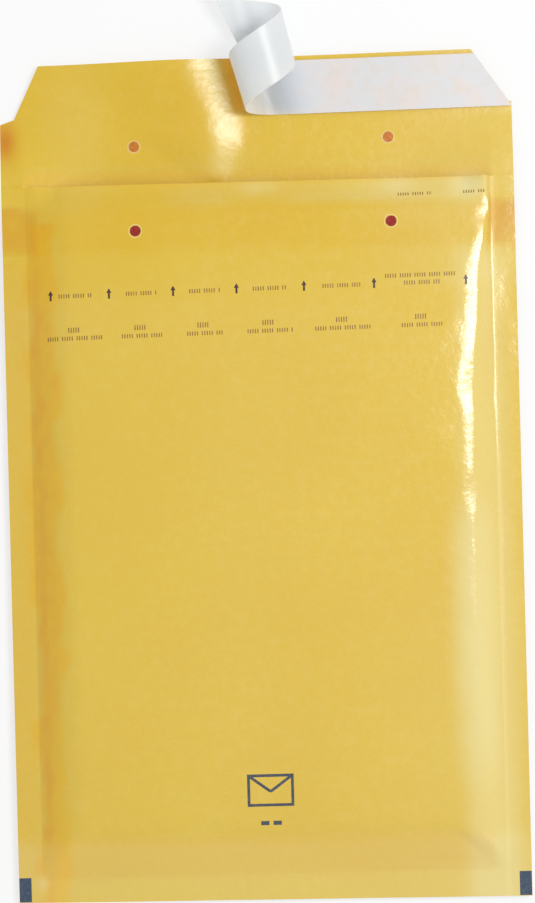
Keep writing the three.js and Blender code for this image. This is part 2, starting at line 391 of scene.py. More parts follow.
# The loose liner's bluish white, painted lighter than the paper is, as light inside the curl and beside
# it
LINER_LOOSE_AND_LIT = (232, 243, 255)
LINER_GREY = (223, 222, 223)
LINER_PINK = (231, 218, 212)
LINER_GREEN = (216, 216, 208)
ARROW_INK = [(66, 42, 32), (110, 78, 44)]
WORD_INK = [(140, 100, 44), (184, 144, 66)]
SIGN_INK = [(70, 78, 92), (104, 104, 96)]
CORNER_INK = [(58, 76, 98), (84, 98, 112)]

# Textures: their size, their detail and how far they are stretched along X, Y and Z.
# A range gives the noise that makes a share of 0 and of 1.
COCKLE = (2.8, 3)
GLOSS_CLOUDS = (4, 2)
FILM_CREASES = (2.5, 2)
FIBRES = (1, 4, (1.4, 0.9, 1))
FIBRE_RANGE = (0.2, 0.8)
LINER_SPECKS = (4, 3)
SPECK_RANGE = (0.5, 0.9)

# Patterns: a texture's size and detail, and its range
MOTTLE = (4, 3, 0.45, 2.2)
BROAD_CLOUDS = (50, 1, 0.3, 1.8)
DISC_SHADE_MOTTLE = (0.9, 2, 0.35, 0.7)
FILM_CLOUDS = (4, 2, 0.3, 0.7)
SMEARS = (9, 3, 0.45, 1.6)
LINER_CLOUDS = (8, 3, 0.4, 0.65)
INK_WEAR = (1.2, 2, 0.45, 0.8)

# The discs' painted shade and the painted light on the rim round each: from the disc's edge outwards, and
# how strongly it shows
DISC_SHADE_FADE = (0.1, -0.25)
RIM_LIGHT_FADE = (0.65, 0.3)
FRONT_RIM_LIGHT = 0.8
FLAP_RIM_LIGHT = 0.3

# Faces of the materials
GLAZE_ROUGHNESS = (0.13, 0.21)
DULLING = 0.3
GLAZE_SPECULAR = 0.6
COCKLE_DEPTH = 0.1
FIBRE_DEPTH = 0.006
FILM_ROUGHNESS = 0.16
FILM_ALPHA = 0.3
FILM_DEPTH = 0.1
LINER_ROUGHNESS = 0.36
LINER_DEPTH = 0.03
LINER_GLOW_DEPTH = 1.5
INK_ROUGHNESS = 0.35
SHARP_PAPER = 35
SHARP_FILM = 60

# The photograph's view
CAMERA_PLACE = (1.2, 34.7, 1150)
CAMERA_TURN = math.radians(-1.5)
CAMERA_LENS = 117.2
CAMERA_REACH = 10000
SENSOR = 36

# The studio: its lamp, its surround and its floor, which the camera sees paler than it is
LAMP_PLACE = (480, 170, 950)
LAMP_AIM = (0, 30, 0)
LAMP_SIZE = (220, 400)
LAMP_POWER = 5.15
SURROUND = 0.585
FLOOR_HALF = 5000
FLOOR_Z = -0.3
FLOOR_COLOUR = (0.95, 0.95, 0.95, 1)
FLOOR_ROUGHNESS = 0.9
FLOOR_PALING = 0.7
WHITE = (1, 1, 1, 1)


def smooth_step(t):
    """0 below 0, 1 above 1, and a smooth climb between them."""
    t = np.clip(t, 0, 1)
    return t * t * (3 - 2 * t)


def rise(value, zero, one):
    """A smooth climb from 0 at one place to 1 at another."""
    return smooth_step((value - zero) / (one - zero))


def within(value, ramps):
    """How much a value is in a range that is given by its ramps."""
    share = 1
    for zero, one in ramps:
        share = share * rise(value, zero, one)
    return share


def eased(place, stops):
    """A value that moves smoothly from stop to stop, each a place and the value there."""
    value = stops[0][1]
    for (start, low), (end, high) in zip(stops, stops[1:]):
        value = value + (high - low) * rise(place, start, end)
    return value


def noise(x, y, field):
    """Smooth noise of one of the noise fields, between minus and plus its strength."""
    cell, seed, strength = field
    lattice = np.random.default_rng(seed).uniform(-1, 1, (NOISE_CELLS, NOISE_CELLS))
    u = np.asarray(x, float) / cell + NOISE_CELLS / 2
    v = np.asarray(y, float) / cell + NOISE_CELLS / 2
    column = np.floor(u).astype(int)
    row = np.floor(v).astype(int)
    across = smooth_step(u - column)
    up = smooth_step(v - row)

    def corner(i, j):
        return lattice[(column + i) % NOISE_CELLS, (row + j) % NOISE_CELLS]

    low = corner(0, 0) * (1 - across) + corner(1, 0) * across
    high = corner(0, 1) * (1 - across) + corner(1, 1) * across
    return strength * (low * (1 - up) + high * up)


def crease(x, y, path, width):
    """1 along a path of points, fading to 0 within about two widths of it."""
    nearest = np.full(np.shape(x), np.inf)
    for (ax, ay), (bx, by) in zip(path, path[1:]):
        length = (bx - ax) ** 2 + (by - ay) ** 2
        share = np.clip(((x - ax) * (bx - ax) + (y - ay) * (by - ay)) / length, 0, 1)
        away = (x - ax - share * (bx - ax)) ** 2 + (y - ay - share * (by - ay)) ** 2
        nearest = np.minimum(nearest, away)
    return np.exp(-nearest / width**2)


def swell(x, y):
    """How far the back panel has swelled: 0 on the seams, 1 where it lies flat."""
    width = SLOPE_WIDTH * (1 + MOUTH_SPREAD * rise(y, *SPREAD_Y))
    inset = np.minimum(np.minimum(SEAM_X - np.abs(x), y - SEAM_Y), width)
    return np.sin(np.maximum(inset, 0) / width * math.pi / 2)


def dome(x, y):
    """The gentle rise of the front panel inside its four slopes."""
    bottom = SEAM_Y + SLOPE_WIDTH
    u = x / (SEAM_X - SLOPE_WIDTH)
    v = (2 * y - MOUTH_Y - bottom) / (MOUTH_Y - bottom)
    return CROWN * np.maximum(0, 1 - u * u) * np.maximum(0, 1 - v * v)


def nearest_seam(x, y):
    """How far inside the seams a point is, with rounded corners, and the side seam's share in it."""
    side = SEAM_X - np.abs(x)
    bottom = y - SEAM_Y
    share = np.clip(0.5 + (bottom - side) / CORNER_ROUNDING, 0, 1)
    inset = bottom * (1 - share) + side * share - CORNER_ROUNDING / 2 * share * (1 - share)
    return np.maximum(inset, 0), share


def streak_shape(y):
    """How far inside the right seam the streak of light is, and how wide, at each height."""
    heights, insets, widths = zip(*STREAK)
    inset = np.interp(y, heights, insets) + noise(SEAM_LINE, y, SIDE_WANDER)
    width = np.interp(y, heights, widths) * (1 + noise(STREAK_LINE, y, STREAK_CHANGE))
    return inset, width


def facet_width(x, y, side_share, facet_end, shoulder):
    """Width of the steep facet inside the nearest seam, which wanders along the seam."""
    streak_inset, _ = streak_shape(y)
    right = np.maximum(streak_inset - facet_end - shoulder / 2, LEAST_FACET)
    left = LEFT_FACET + noise(-SEAM_LINE, y, SIDE_WANDER) + noise(LEFT_LINE, y, LEFT_WANDER)
    side = np.where(x > 0, right, left)
    bottom = BOTTOM_FACET + noise(x, -SEAM_LINE, BOTTOM_WANDER)
    return side * side_share + bottom * (1 - side_share)


def climb(inset, bends):
    """Height gained when the slope changes in bends, each given by its start, length and change."""
    height = 0
    for start, length, change in bends:
        share = (inset - start) / length
        height += change * length * (np.clip(share, 0, 1) ** 2 / 2 + np.maximum(share - 1, 0))
    return height


def front_rise(inset, facet, foot, facet_end, shoulder, full):
    """Height of the front panel above its seams, which ends at the full height."""
    gentle = [
        (0, FOOT_START, SHEEN_LOW),
        (FOOT_START, foot, SHEEN_HIGH - SHEEN_LOW),
        (facet + facet_end, shoulder, SHEEN_LOW - SHEEN_HIGH),
        (facet + facet_end + shoulder, SHOULDER_END, -SHEEN_LOW),
    ]
    steep = [(FOOT_START + foot, FOOT_END, 1), (facet, facet_end, -1)]
    steepness = (full - climb(FAR_INSIDE, gentle)) / climb(FAR_INSIDE, steep)
    return climb(inset, gentle) + steepness * climb(inset, steep)


def seam_wave(x, y):
    """The light cockle of the pressed seams, for both panels."""
    outside = rise(np.abs(x), SEAM_X, SEAM_X + COCKLE_REACH)
    outside = outside + rise(y, SEAM_Y, SEAM_Y - COCKLE_REACH)
    return np.minimum(outside, 1) * noise(x, y, SEAM_COCKLE)


def glint(y):
    """How wide the thin light in the right seam's foot is, as a share of the foot's width."""
    level = within(y, GLINT_Y) * (GLINT_LEVEL + noise(SEAM_LINE, y, GLINT_CHANGE))
    spot = MOST_GLINT * np.exp(-(((y - SPOT_Y) / SPOT_REACH) ** 2))
    return np.clip(level + spot, 0, MOST_GLINT)


def seam_bends(x, y, side_share):
    """Lengths of the front panel's bends: its foot, the facet's end and the shoulder."""
    bright = rise(x, *BRIGHT_X) * rise(y, *BRIGHT_Y) * side_share
    foot = LEAST_BEND + FOOT_WIDTH * bright * glint(y)
    streak_inset, streak_width = streak_shape(y)
    room = streak_inset - streak_width / 2 - LEAST_FACET
    sharp_end = np.clip(room, LEAST_BEND, FACET_END)
    facet_end = SOFT_FACET_END + (sharp_end - SOFT_FACET_END) * bright
    shoulder = SOFT_SHOULDER + (streak_width - SOFT_SHOULDER) * bright
    return foot, facet_end, shoulder


def panel_bends(x, y):
    """How far the front panel stands off its plain form: waves, dents, droop and crease."""
    waves = noise(x, y, PANEL_WAVES) + noise(x, y, SMALL_WAVES)
    dents = noise(x, y, DENTS) * rise(np.abs(x), *DENT_X)
    droop = MOUTH_DROOP * rise(y, *DROOP_Y) * (1 + noise(x, y, DROOP_CHANGE))
    return waves + dents - droop - CREASE_DEPTH * crease(x, y, CORNER_CREASE, CREASE_WIDTH)


def front_height(x, y):
    """Height of the front panel's outer face."""
    inset, side_share = nearest_seam(x, y)
    foot, facet_end, shoulder = seam_bends(x, y, side_share)
    facet = facet_width(x, y, side_share, facet_end, shoulder)
    foot = np.minimum(foot, np.maximum(facet - FOOT_START - FOOT_END - LEAST_BEND, LEAST_BEND))
    sag = MOUTH_SAG * rise(y, *SAG_Y) + BOTTOM_SAG * rise(y, *BOTTOM_SAG_Y)
    full = POUCH - SEAM_HEIGHT - SEAL / 2 - sag
    return (
        SEAM_HEIGHT
        + SEAL / 2
        + front_rise(inset, facet, foot, facet_end, shoulder, full)
        + dome(x, y)
        + rise(inset, 0, SLOPE_WIDTH) * panel_bends(x, y)
        + seam_wave(x, y)
    )


def flap_waves(x, y):
    """The soft waves of the flap alone."""
    return WAVE_HEIGHT * rise(y, *WAVE_Y) * (1 + noise(x, y, FLAP_WAVES))


def flap_relief(x, y):
    """How far the flap stands off its plain form: soft waves, and a ridge from the peeling."""
    share = np.clip((y - MOUTH_Y) / FLAP_LENGTH, 0, 1)
    width = eased(share, RIDGE_WIDTHS)
    right_end = eased(share, RIDGE_ENDS)
    top = right_end - width
    slope = RIDGE_SLOPE + RIDGE_STEEPENING * share
    height = slope * width / STEEPEST_STEP * rise(share, *RIDGE_ONSET)
    right = rise(x, right_end, top)
    left = rise(x, top + width / 2 - RIDGE_REACH * width, top)
    return height * np.minimum(right, left) + flap_waves(x, y)


def back_height(x, y):
    """Height of the back panel's underside, and beyond the mouth that of the flap."""
    seam_underside = SEAM_HEIGHT - SEAL / 2
    beyond = np.maximum(0, y - MOUTH_Y)
    fade = np.maximum(0, 1 - beyond / SWELL_FADE)
    panel_y = np.minimum(y, MOUTH_Y)
    return (
        seam_underside * (1 - swell(x, panel_y)) * fade
        + beyond * math.tan(FLAP_ANGLE)
        + seam_wave(x, panel_y) * fade
        + flap_relief(x, y)
    )


def grid_lines(stops, spacings):
    """Places from the first stop to the last, about as far apart as each stretch's spacing."""
    lines = [stops[0]]
    for start, end, spacing in zip(stops, stops[1:], spacings):
        count = max(1, math.ceil((end - start) / spacing))
        lines.extend(np.linspace(start, end, count + 1)[1:])
    return np.array(lines)


def add_object(name, data):
    """A new object in the scene."""
    made = bpy.data.objects.new(name, data)
    bpy.context.scene.collection.objects.link(made)
    return made


def mesh_object(name, points, faces, material):
    """An object from points in millimetres."""
    mesh = bpy.data.meshes.new(name)
    mesh.from_pydata((np.asarray(points) * MM).tolist(), [], [list(map(int, f)) for f in faces])
    mesh.validate()
    mesh.materials.append(material)
    return add_object(name, mesh)


def smooth(piece, sharp_from=SHARP_PAPER):
    """Shades a piece smooth, apart from edges that turn more than the given angle."""
    piece.data.shade_smooth()
    piece.data.set_sharp_from_angle(angle=math.radians(sharp_from))
    return piece


class Shell:
    """Points and faces of one mesh, gathered a surface at a time."""

    def __init__(self):
        self.points = []
        self.faces = []
        self.count = 0

    def add(self, x, y, z):
        """Adds points and gives back their numbers, in the shape of x."""
        shape = np.shape(x)
        grid = np.stack([np.ravel(np.broadcast_to(a, shape)) for a in (x, y, z)], axis=1)
        numbers = np.arange(self.count, self.count + len(grid)).reshape(shape)
        self.points.append(grid)
        self.count += len(grid)
        return numbers

    def skin(self, numbers, upward):
        """Faces between neighbouring points of a grid, rows by columns."""
        quads = np.stack(
            [numbers[:-1, :-1], numbers[:-1, 1:], numbers[1:, 1:], numbers[1:, :-1]], axis=-1
        ).reshape(-1, 4)
        self.faces.extend(quads if upward else quads[:, ::-1])

    def skin_walls(self, front, back, front_in, back_in):
        """Faces of two walls, outside and inside."""
        self.skin(front, upward=True)
        self.skin(back, upward=False)
        self.skin(front_in, upward=False)
        self.skin(back_in, upward=True)

    def wall(self, upper, lower):
        """Faces between two rows of points, facing right of the direction in which they run."""
        for i in range(len(upper) - 1):
            self.faces.append([lower[i], lower[i + 1], upper[i + 1], upper[i]])

    def build(self, name, material):
        """The object that the points and faces make."""
        return mesh_object(name, np.concatenate(self.points), self.faces, material)


def body_grid(columns, rows):
    """The grid of the two panels, with the bottom rows leaning to the skewed cut."""
    x, y = np.meshgrid(columns, rows)
    share = np.clip((SEAM_Y - y) / (SEAM_Y - BOTTOM_Y), 0, 1)
    return x, y - share * BOTTOM_SKEW / 2 * x / HALF_WIDTH


def flap_grid(columns):
    """The grid of the flap: a straight part, the shoulders, then the chamfers."""
    u = columns / HALF_WIDTH
    shoulder = np.interp(u, [-1, 1], [LEFT_SHOULDER, RIGHT_SHOULDER])
    cut_y = MOUTH_Y + FLAP_LENGTH
    start_y = cut_y + CUT_SKEW * columns - CHAMFER_LENGTH - SHOULDER_FALL * shoulder
    rows = []
    for t in np.linspace(0, 1, STRAIGHT_ROWS + 1)[1:]:
        rows.append((columns, MOUTH_Y + (start_y - MOUTH_Y) * t))
    for t in SHOULDER_ROWS:
        x = u * (HALF_WIDTH - shoulder * t)
        rows.append((x, cut_y + CUT_SKEW * x - CHAMFER_LENGTH - SHOULDER_FALL * shoulder * (1 - t)))
    for t in np.linspace(1, 0, CHAMFER_ROWS + 1)[1:]:
        x = u * (HALF_WIDTH - CHAMFER_WIDTH + (CHAMFER_WIDTH - shoulder) * t)
        rows.append((x, cut_y + CUT_SKEW * x - CHAMFER_LENGTH * t))
    return np.array(rows).transpose(1, 0, 2)


def panel_columns():
    """Grid lines across the envelope, closest together in the feet of the slopes."""
    foot = SEAM_X - FOOT_ZONE
    flat = SEAM_X - SLOPE_ZONE_X
    stops = [-HALF_WIDTH, -SEAM_X, -foot, -flat, *RIDGE_ZONE, flat, foot, SEAM_X, HALF_WIDTH]
    return grid_lines(stops, COLUMN_STEPS)


def panel_rows():
    """Grid lines along the pouch, from its cut bottom to the mouth."""
    foot = SEAM_Y + FOOT_ZONE
    flat = SEAM_Y + SLOPE_ZONE_Y
    return grid_lines([BOTTOM_Y, SEAM_Y, foot, flat, LINING_TOP_Y, MOUTH_Y], ROW_STEPS)


def inner_walls(shell, x, y, depth):
    """The inner faces of both panels, a depth inside the outer ones, with three shared rims."""
    front_z = front_height(x, y) - depth
    back_z = back_height(x, y) + depth
    middle = (front_z + back_z) / 2
    rim = np.zeros(x.shape, bool)
    rim[0, :] = True
    rim[:, [0, -1]] = True
    front = shell.add(x, y, np.where(rim, middle, front_z))
    back = shell.add(x, y, np.where(rim, middle, back_z))
    back[rim] = front[rim]
    return front, back


def kraft_shell():
    """One closed sheet: both panels, joined in the seams, and the flap."""
    shell = Shell()
    columns = panel_columns()
    rows = panel_rows()
    x, y = body_grid(columns, rows)
    inner = np.abs(columns) <= SEAM_X + TINY
    inner_rows = rows >= SEAM_Y - TINY
    front = shell.add(x, y, front_height(x, y))
    back = shell.add(x, y, back_height(x, y))
    inside = np.ix_(inner_rows, inner)
    front_in, back_in = inner_walls(shell, x[inside], y[inside], PAPER)
    fx, fy = flap_grid(columns)
    flap_under = np.vstack([back[-1], shell.add(fx, fy, back_height(fx, fy))])
    flap_start = np.zeros(len(columns), int)
    flap_start[inner] = back_in[-1]
    outer = ~inner
    flap_start[outer] = shell.add(
        columns[outer], np.full(outer.sum(), MOUTH_Y), back_height(columns[outer], MOUTH_Y) + PAPER
    )
    flap_over = np.vstack([flap_start, shell.add(fx, fy, back_height(fx, fy) + PAPER)])
    shell.skin_walls(front, back, front_in, back_in)
    shell.skin(flap_over, upward=True)
    shell.skin(flap_under, upward=False)
    mouth_lower = flap_start.copy()
    mouth_lower[inner] = front_in[-1]
    shell.wall(front[-1][::-1], mouth_lower[::-1])
    shell.wall(front[0], back[0])
    shell.wall(flap_over[-1][::-1], flap_under[-1][::-1])
    for side in (0, -1):
        order = slice(None, None, -1) if side == 0 else slice(None)
        shell.wall(front[:-1, side][order], back[:-1, side][order])
        shell.wall(flap_over[:, side][order], flap_under[:, side][order])
        corner = [front[-2, side], front[-1, side], flap_start[side], back[-1, side], back[-2, side]]
        shell.faces.append(corner if side == 0 else corner[::-1])
    return shell


def disc_cutter(shell, x, y, from_z, to_z):
    """Adds the thin ring, open at the nick, that cuts round one disc."""
    half_nick = DISC_NICK / DISC_RADIUS / 2
    turn = math.pi / 2 + np.linspace(half_nick, 2 * math.pi - half_nick, DISC_POINTS)
    rings = []
    for radius in (DISC_RADIUS, DISC_RADIUS - DISC_CUT):
        for z in (to_z, from_z):
            ring_x = x + radius * np.cos(turn)
            ring_y = y + radius * np.sin(turn)
            rings.append(shell.add(ring_x, ring_y, np.full(len(turn), z)))
    outer_high, outer_low, inner_high, inner_low = rings
    shell.skin(np.array([outer_high, inner_high]), upward=True)
    shell.skin(np.array([outer_low, inner_low]), upward=False)
    shell.wall(outer_high, outer_low)
    shell.wall(inner_high[::-1], inner_low[::-1])
    shell.faces.append([outer_low[0], outer_high[0], inner_high[0], inner_low[0]])
    shell.faces.append([inner_low[-1], inner_high[-1], outer_high[-1], outer_low[-1]])


def punch(piece, row_y, from_z, to_z):
    """Cuts round one row's two discs, up to their nicks, between two heights."""
    shell = Shell()
    for side in (-0.5, 0.5):
        x = DISC_SHIFT + side * DISC_SPACING
        disc_cutter(shell, x, row_y + CUT_SKEW * x, from_z, to_z)
    punches = shell.build("punches", piece.data.materials[0])
    cut = piece.modifiers.new("punch", "BOOLEAN")
    cut.operation = "DIFFERENCE"
    cut.solver = "MANIFOLD"
    cut.object = punches
    graph = bpy.context.evaluated_depsgraph_get()
    punched = bpy.data.meshes.new_from_object(piece.evaluated_get(graph))
    piece.modifiers.clear()
    piece.data = punched
    bpy.data.objects.remove(punches)


def set_inputs(tree, node, values):
    """Sets a node's inputs to values, or links them from other nodes' sockets."""
    for key, value in values.items():
        if isinstance(value, bpy.types.NodeSocket):
            tree.links.new(value, node.inputs[key])
        else:
            node.inputs[key].default_value = value


def add_node(tree, kind, values=None, **settings):
    """A shader node with its settings and its inputs."""
    made = tree.nodes.new("ShaderNode" + kind)
    for key, value in settings.items():
        setattr(made, key, value)
    set_inputs(tree, made, values or {})
    return made


def new_material(name):
    """An empty material: its node tree and its surface shader."""
    material = bpy.data.materials.new(name)
    material.use_nodes = True
    tree = material.node_tree
    return material, tree, tree.nodes["Principled BSDF"]


def colour(shown):
    """A colour as it shows on screen, from 0 to 255, made linear by the sRGB curve."""
    shown = np.array(shown) / 255
    linear = np.where(shown <= 0.04045, shown / 12.92, ((shown + 0.055) / 1.055) ** 2.4)
    return (*linear.tolist(), 1)


def maths(tree, operation, *values):
    """The result of a sum on one value or two."""
    return add_node(tree, "Math", dict(enumerate(values)), operation=operation).outputs[0]


def blended(tree, share, first, second):
    """A colour between two, by a share from 0 to 1."""
    mix = add_node(tree, "Mix", data_type="RGBA")
    numbers = {socket.identifier: i for i, socket in enumerate(mix.inputs)}
    values = {"Factor_Float": share, "A_Color": first, "B_Color": second}
    set_inputs(tree, mix, {numbers[name]: value for name, value in values.items()})
    return next(s for s in mix.outputs if s.identifier == "Result_Color")


def texture(tree, size, detail, stretch=(1, 1, 1)):
    """Noise whose features have a given size, times a stretch along each axis."""
    place = add_node(tree, "TexCoord").outputs["Object"]
    scale = tuple(1 / (size * MM * s) for s in stretch)
    mapped = add_node(tree, "Mapping", {"Vector": place, "Scale": scale}).outputs[0]
    return add_node(tree, "TexNoise", {"Vector": mapped, "Scale": 1, "Detail": detail}).outputs[0]


def ramp(tree, value, low, high):
    """A value spread so that low gives 0 and high gives 1, and no further."""
    values = {"Value": value, "From Min": low, "From Max": high}
    return add_node(tree, "MapRange", values, clamp=True).outputs[0]


def pattern(tree, size, detail, low, high):
    """A texture as a share from 0 to 1."""
    return ramp(tree, texture(tree, size, detail), low, high)


def from_discs(tree):
    """How far a point is from the middle of the nearest punched disc."""
    place = add_node(tree, "TexCoord").outputs["Object"]
    axes = add_node(tree, "SeparateXYZ", {"Vector": place}).outputs
    lean = maths(tree, "MULTIPLY", axes["X"], -CUT_SKEW)
    row = maths(tree, "ADD", axes["Y"], lean)
    from_fold = maths(tree, "ABSOLUTE", maths(tree, "SUBTRACT", row, FOLD_Y * MM))
    from_middle = maths(tree, "ABSOLUTE", maths(tree, "SUBTRACT", axes["X"], DISC_SHIFT * MM))
    across = maths(tree, "SUBTRACT", from_middle, DISC_SPACING / 2 * MM)
    along = maths(tree, "SUBTRACT", from_fold, DISC_TO_FOLD * MM)
    squared = maths(tree, "ADD", maths(tree, "POWER", across, 2), maths(tree, "POWER", along, 2))
    return maths(tree, "SQRT", squared)


def share_of(tree, name):
    """A share that was painted on a piece's vertices."""
    return add_node(tree, "Attribute", attribute_name=name).outputs["Fac"]


def paper_colour(tree):
    """The kraft paper's colour: fibres, mottling, warmth from glue and painted shade, a deeper tone and
    painted shade, painted sheen, and painted light by the curl, the mouth and the slopes.
    """
    fibres = ramp(tree, texture(tree, *FIBRES), *FIBRE_RANGE)
    paper = blended(tree, fibres, colour(PAPER_DARK), colour(PAPER_LIGHT))
    layers = [
        (pattern(tree, *MOTTLE), PAPER_MOTTLED),
        (pattern(tree, *BROAD_CLOUDS), PAPER_DEEP),
        (share_of(tree, "rich_tone_and_shade"), PAPER_RICH_AND_SHADED),
        (share_of(tree, "warmth"), PAPER_WARM),
        (share_of(tree, "painted_sheen"), PAPER_SHEEN_PAINT),
        (share_of(tree, "painted_light"), PAPER_PAINTED_LIGHT),
    ]
    for share, shown in layers:
        paper = blended(tree, share, paper, colour(shown))
    return paper


def disc_shade(tree, paper):
    """Adds the painted shade of the hollows behind the discs: dark red on the front and the flap's
    underside, orange brown on the flap's upper face, each with a pale painted rim of light.
    """

    def fading(past_edge):
        return ramp(tree, away, *((DISC_RADIUS + place) * MM for place in past_edge))

    def times(first, second):
        return maths(tree, "MULTIPLY", first, second)

    away = from_discs(tree)
    shade_mottle = pattern(tree, *DISC_SHADE_MOTTLE)
    red = blended(tree, shade_mottle, colour(DISC_RED_SHADE), colour(DISC_RED_SHADE_LIGHTER))
    brown = blended(tree, shade_mottle, colour(DISC_BROWN_SHADE), colour(DISC_BROWN_SHADE_LIGHTER))
    printed = share_of(tree, "printed")
    shown = share_of(tree, "flap_disc_shade")
    rim_light = maths(tree, "ADD", times(printed, FRONT_RIM_LIGHT), times(shown, FLAP_RIM_LIGHT))
    paper = blended(tree, times(fading(RIM_LIGHT_FADE), rim_light), paper, colour(DISC_RIM_LIGHT))
    disc = fading(DISC_SHADE_FADE)
    paper = blended(tree, times(disc, printed), paper, red)
    return blended(tree, times(disc, shown), paper, brown)


def bumped(tree, height, depth, normal=None):
    """The shader normal of a face with a relief of the given depth."""
    values = {"Height": height, "Distance": depth * MM, "Strength": 1}
    if normal is not None:
        values["Normal"] = normal
    return add_node(tree, "Bump", values).outputs[0]


def spread(tree, value, low, high):
    """A share from 0 to 1, spread between two values."""
    return add_node(tree, "MapRange", {"Value": value, "To Min": low, "To Max": high}).outputs[0]


def glaze(tree, shader):
    """The paper's face: glossy where it isn't painted dull, with a light cockle and fine fibres."""
    gloss = spread(tree, texture(tree, *GLOSS_CLOUDS), *GLAZE_ROUGHNESS)
    dulled = maths(tree, "MULTIPLY", share_of(tree, "dullness"), DULLING)
    cockle = bumped(tree, texture(tree, *COCKLE), COCKLE_DEPTH)
    set_inputs(tree, shader, {
        "Roughness": maths(tree, "ADD", gloss, dulled),
        "Normal": bumped(tree, texture(tree, *FIBRES), FIBRE_DEPTH, cockle),
        "Specular IOR Level": GLAZE_SPECULAR,
    })


def kraft_material():
    """Glazed kraft paper."""
    material, tree, shader = new_material("kraft_paper")
    set_inputs(tree, shader, {"Base Color": disc_shade(tree, paper_colour(tree))})
    glaze(tree, shader)
    return material


def film_material():
    """Clear bubble film: thin, glossy and a little milky."""
    material, tree, shader = new_material("bubble_film")
    milk = blended(tree, pattern(tree, *FILM_CLOUDS), colour(FILM_DARK), colour(FILM_LIGHT))
    set_inputs(tree, shader, {
        "Base Color": milk,
        "Normal": bumped(tree, texture(tree, *FILM_CREASES), FILM_DEPTH),
        "Roughness": FILM_ROUGHNESS,
        "Alpha": FILM_ALPHA,
    })
    return material


def adhesive_material():
    """Clear hot melt over kraft: the paper shows through, a little deeper."""
    material, tree, shader = new_material("clear_adhesive")
    melt = blended(tree, pattern(tree, *SMEARS), paper_colour(tree), colour(MELT_DEEP))
    set_inputs(tree, shader, {"Base Color": melt})
    glaze(tree, shader)
    return material


def liner_material():
    """White siliconised paper: smooth, a little glossy, with faint clouds of pink and green; where loose
    and just past the peel, a bluish white painted lighter, as light inside and beside the curl.
    """
    material, tree, shader = new_material("release_paper")
    specks = texture(tree, *LINER_SPECKS)
    stuck = share_of(tree, "stuck")
    pink = blended(tree, pattern(tree, *LINER_CLOUDS), colour(LINER_GREY), colour(LINER_PINK))
    held = blended(tree, ramp(tree, specks, *SPECK_RANGE), pink, colour(LINER_GREEN))
    set_inputs(tree, shader, {
        "Base Color": blended(tree, stuck, colour(LINER_LOOSE_AND_LIT), held),
        "Normal": bumped(tree, specks, LINER_DEPTH),
        "Roughness": LINER_ROUGHNESS,
        "Subsurface Weight": spread(tree, stuck, 1, 0),
        "Subsurface Scale": LINER_GLOW_DEPTH * MM,
        "Subsurface Radius": (1, 1, 1),
    })
    return material


def ink_material(name, ink, worn):
    """Printing ink on glazed paper, thinner in places."""
    material, tree, shader = new_material(name)
    shown = blended(tree, pattern(tree, *INK_WEAR), colour(ink), colour(worn))
    set_inputs(tree, shader, {"Base Color": shown, "Roughness": INK_ROUGHNESS})
    return material


def patch(x, y, centre, reach):
    """1 at the centre of a soft patch, nearly 0 beyond its reach and a half."""
    away = ((x - centre[0]) / reach[0]) ** 2 + ((y - centre[1]) / reach[1]) ** 2
    return np.exp(-away * PATCH_FALL)


def painted(x, y, patches=(), zones=(), strokes=()):
    """The sum of painted patches, zones and strokes at each point."""
    share = np.zeros(len(x))
    for strength, centre, reach in patches:
        share += strength * patch(x, y, centre, reach)
    for strength, across, along in zones:
        share += strength * within(x, across) * within(y, along)
    for strength, path, width in strokes:
        share += strength * crease(x, y, path, width)
    return share


def paint(piece, name, shares):
    """Gives each vertex a share from 0 to 1, for the material to read."""
    attribute = piece.data.attributes.new(name, "FLOAT", "POINT")
    attribute.data.foreach_set("value", np.clip(shares, 0, 1).astype(np.float32))


def places(piece):
    """The coordinates of a piece's vertices, in millimetres."""
    points = np.empty(len(piece.data.vertices) * 3)
    piece.data.vertices.foreach_get("co", points)
    return points.reshape(-1, 3).T / MM


def left_slope(x, y, narrowing=0):
    """How much a point is on the left slope, between ragged edges."""
    ragged = x + noise(x, y, EDGE_RAGGED)
    sloping = rise(ragged, *SLOPE_START_X) * rise(ragged + narrowing, *SLOPE_END_X)
    return sloping * (y < SLOPE_TOP_Y)


def glue_and_shade_warmth(x, y):
    """How warm the paper is painted: glue shows through in the band under the mouth; painted shade on the
    left slope; a darker ragged line on the slope; a warmer left seam.
    """
    ragged = x + noise(x, y, EDGE_RAGGED)
    band = within(y + noise(x, y, BAND_RAGGED), GLUE_BAND_Y)
    seams = LEFT_GLUE * rise(ragged, *LEFT_GLUE_X) + RIGHT_GLUE * rise(ragged, *RIGHT_GLUE_X)
    slope = left_slope(x, y, SLOPE_NARROWING * rise(y, *NARROWING_Y))
    line = within(x + noise(x, y, LINE_RAGGED), DARK_SLOPE_LINE_X) * (y < MOUTH_Y)
    return (
        band * (GLUE_BAND + seams * (GLUE_MEAN + noise(x, y, BAND_MOTTLE)))
        # painted shade: warmer and deeper on the left slope, which faces away from the lamp
        + SLOPE_SHADE_WARMTH * slope * (1 + noise(x, y, SLOPE_MOTTLE)) * (1 + noise(x, y, SLOPE_GRAIN))
        + DARK_SLOPE_LINE * line * (1 + noise(x, y, LINE_MOTTLE))
        + LEFT_SEAM_WARMTH * rise(x, *LEFT_SEAM_WARMTH_X) * (y < LEFT_SEAM_WARMTH_TOP_Y)
    )


